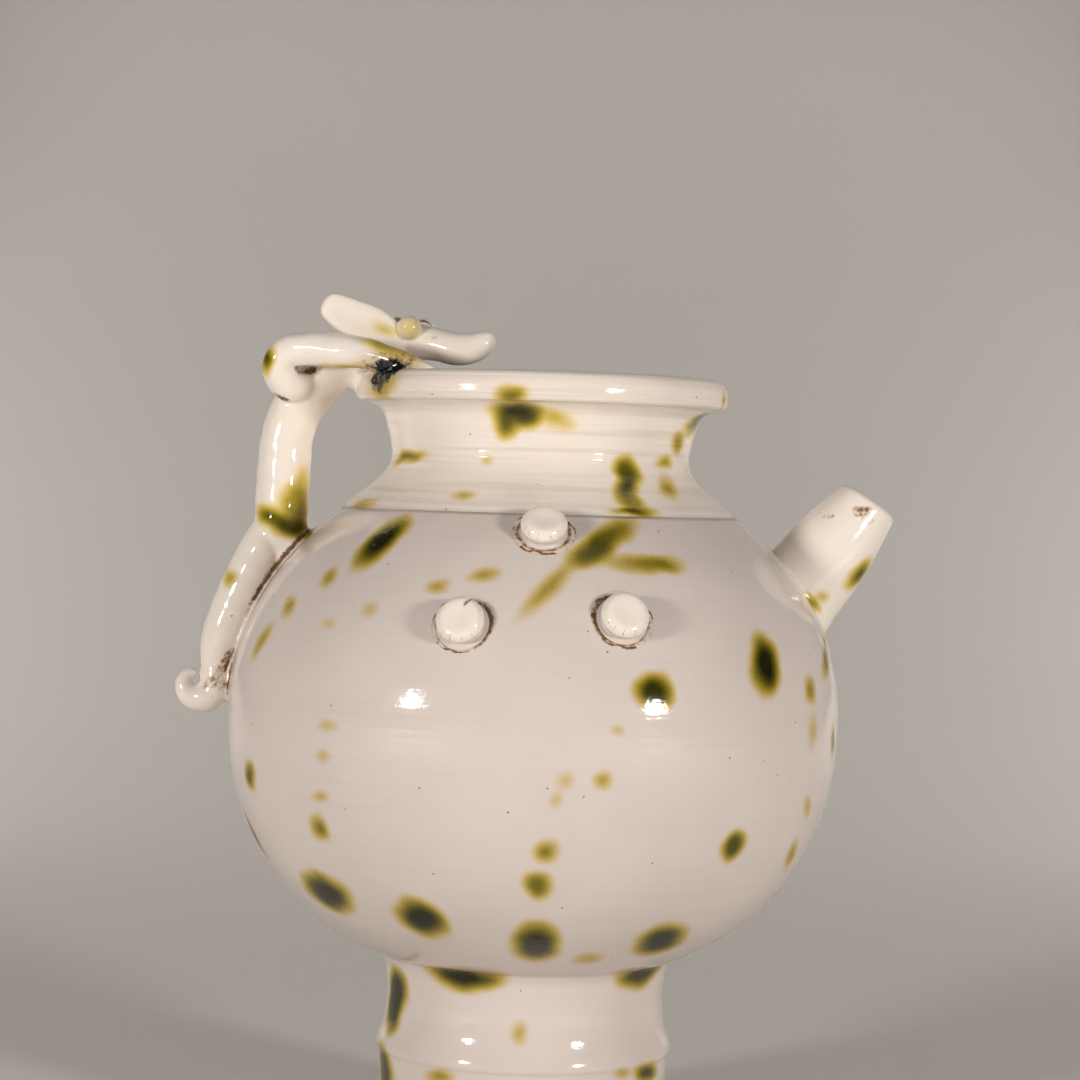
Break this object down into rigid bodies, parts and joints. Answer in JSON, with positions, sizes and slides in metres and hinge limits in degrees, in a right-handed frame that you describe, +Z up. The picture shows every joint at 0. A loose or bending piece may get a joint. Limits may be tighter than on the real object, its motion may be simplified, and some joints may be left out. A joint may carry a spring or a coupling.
{
  "type": "glazed porcelain jar",
  "caption": "White-glazed porcelain ewer jar: round body on a spool foot, rolled rim, short slanting spout, and a handle shaped as a dragon that grips the rim.",
  "frame": {"origin": "on the jar's own vertical axis, in the plane that the foot's standing ring rests on", "axes": "+Z up along the jar's axis, +X towards the spout, the dragon handle on -X, -Y the front that the picture shows"},
  "size_m": [0.2132, 0.182, 0.2538],
  "materials": {
    "white_glaze": "glossy ivory-white glaze with soft green splashes"
  },
  "bodies": {
    "root": {"porcelain_jar": "white_glaze", "jar_spout": "white_glaze"}
  },
  "joints": []
}
